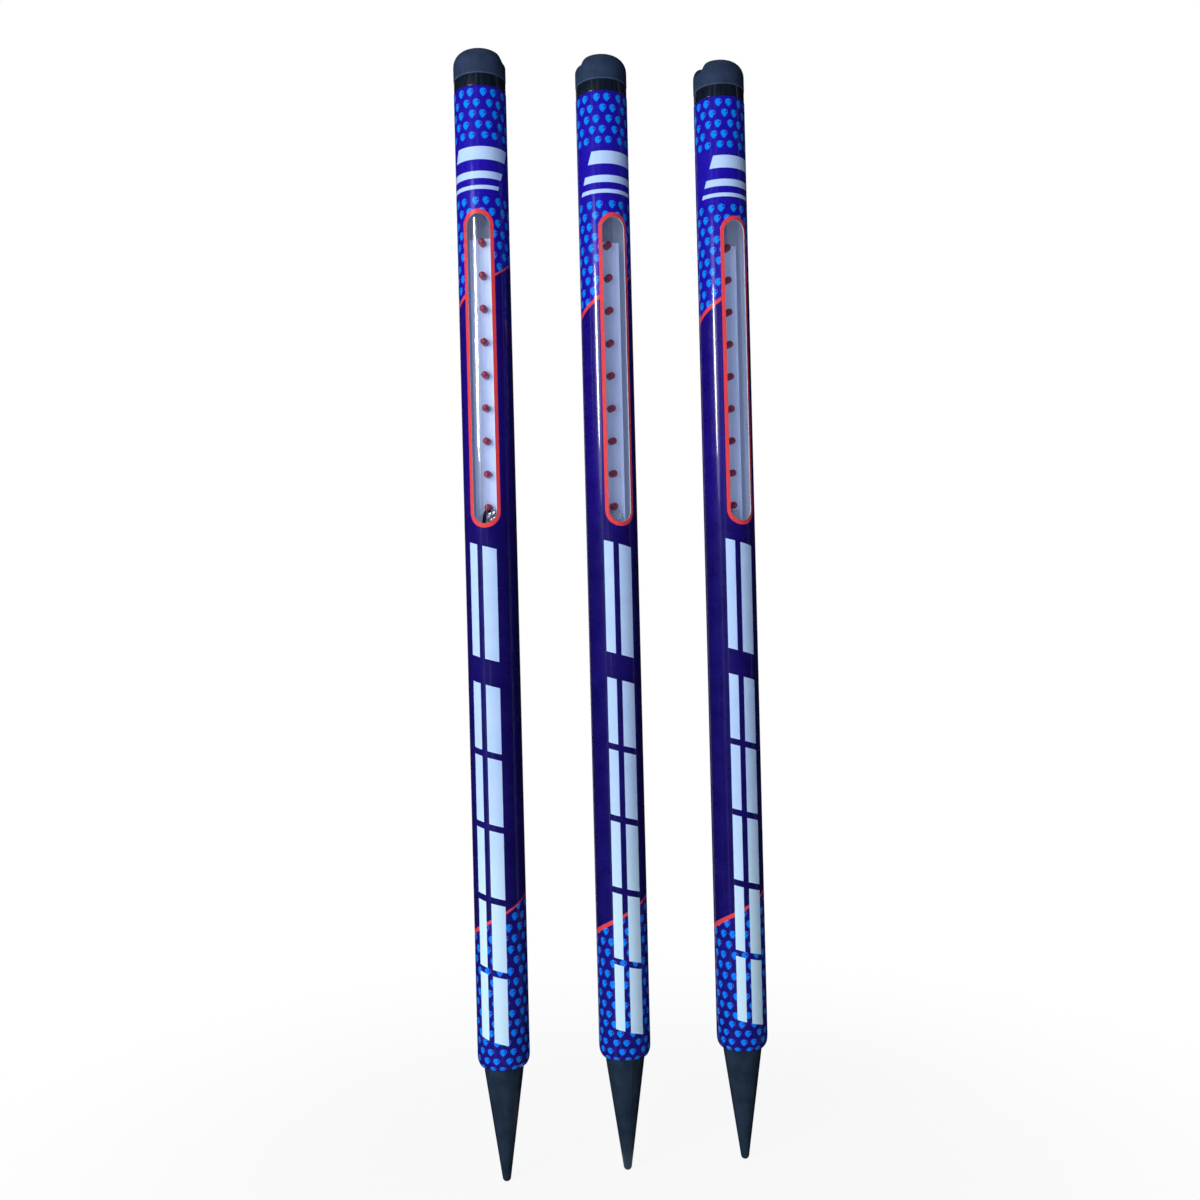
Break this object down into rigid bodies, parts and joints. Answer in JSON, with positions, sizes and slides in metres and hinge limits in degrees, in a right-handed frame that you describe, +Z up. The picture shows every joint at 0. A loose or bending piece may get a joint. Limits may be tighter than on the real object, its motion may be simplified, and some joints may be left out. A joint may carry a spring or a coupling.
{
  "type": "cricket stumps",
  "caption": "Set of cricket stumps with clear barrels in printed sleeves, lamps behind a window, rubber caps with bail grooves and moulded ground spikes.",
  "frame": {"origin": "on the middle stump's axis at the ground line, where the barrels end and the spikes begin", "axes": "+Z up along the stumps, +X along the row towards the right stump, -Y towards the side that the windows face"},
  "size_m": [0.2096, 0.0366, 0.7936],
  "materials": {
    "spike": "moulded, satin",
    "tube": "clear",
    "sleeve": "glossy printed film",
    "cap": "matt rubber",
    "top_plug": "glossy black",
    "power_button": "satin",
    "led_channel": "satin extrusion",
    "led_board": "coated board",
    "led": "clear tinted resin",
    "carrier": "satin",
    "battery": "film-wrapped can",
    "control_board": "coated board"
  },
  "bodies": {
    "left_stump": {"left_spike": "spike", "left_tube": "tube", "left_sleeve": "sleeve", "left_top_plug": "top_plug", "left_carrier": "carrier", "left_led_channel": "led_channel", "left_led_board": "led_board", "left_battery": "battery", "left_control_board": "control_board", "left_led_1": "led", "left_led_2": "led", "left_led_3": "led", "left_led_4": "led", "left_led_5": "led", "left_led_6": "led", "left_led_7": "led", "left_led_8": "led", "left_led_9": "led"},
    "left_cap": {"left_cap": "cap"},
    "left_power_button": {"left_power_button": "power_button"},
    "middle_stump": {"middle_spike": "spike", "middle_tube": "tube", "middle_sleeve": "sleeve", "middle_top_plug": "top_plug", "middle_carrier": "carrier", "middle_led_channel": "led_channel", "middle_led_board": "led_board", "middle_battery": "battery", "middle_control_board": "control_board", "middle_led_1": "led", "middle_led_2": "led", "middle_led_3": "led", "middle_led_4": "led", "middle_led_5": "led", "middle_led_6": "led", "middle_led_7": "led", "middle_led_8": "led", "middle_led_9": "led"},
    "middle_cap": {"middle_cap": "cap"},
    "middle_power_button": {"middle_power_button": "power_button"},
    "right_stump": {"right_spike": "spike", "right_tube": "tube", "right_sleeve": "sleeve", "right_top_plug": "top_plug", "right_carrier": "carrier", "right_led_channel": "led_channel", "right_led_board": "led_board", "right_battery": "battery", "right_control_board": "control_board", "right_led_1": "led", "right_led_2": "led", "right_led_3": "led", "right_led_4": "led", "right_led_5": "led", "right_led_6": "led", "right_led_7": "led", "right_led_8": "led", "right_led_9": "led"},
    "right_cap": {"right_cap": "cap"},
    "right_power_button": {"right_power_button": "power_button"}
  },
  "joints": [
    {"name": "left_stump_pull_out", "type": "slide", "parent": "middle_stump", "child": "left_stump", "axis": [0, 0, 1], "range_m": [0, 0.1]},
    {"name": "left_cap_pull_off", "type": "slide", "parent": "left_stump", "child": "left_cap", "axis": [0, 0, 1], "range_m": [0, 0.03]},
    {"name": "left_power_button_press", "type": "slide", "parent": "left_stump", "child": "left_power_button", "axis": [0, 0, -1], "range_m": [0, 0.0015], "stiffness_N_per_m": 400, "springref_m": -0.001},
    {"name": "middle_cap_pull_off", "type": "slide", "parent": "middle_stump", "child": "middle_cap", "axis": [0, 0, 1], "range_m": [0, 0.03]},
    {"name": "middle_power_button_press", "type": "slide", "parent": "middle_stump", "child": "middle_power_button", "axis": [0, 0, -1], "range_m": [0, 0.0015], "stiffness_N_per_m": 400, "springref_m": -0.001},
    {"name": "right_stump_pull_out", "type": "slide", "parent": "middle_stump", "child": "right_stump", "axis": [0, 0, 1], "range_m": [0, 0.1]},
    {"name": "right_cap_pull_off", "type": "slide", "parent": "right_stump", "child": "right_cap", "axis": [0, 0, 1], "range_m": [0, 0.03]},
    {"name": "right_power_button_press", "type": "slide", "parent": "right_stump", "child": "right_power_button", "axis": [0, 0, -1], "range_m": [0, 0.0015], "stiffness_N_per_m": 400, "springref_m": -0.001}
  ]
}
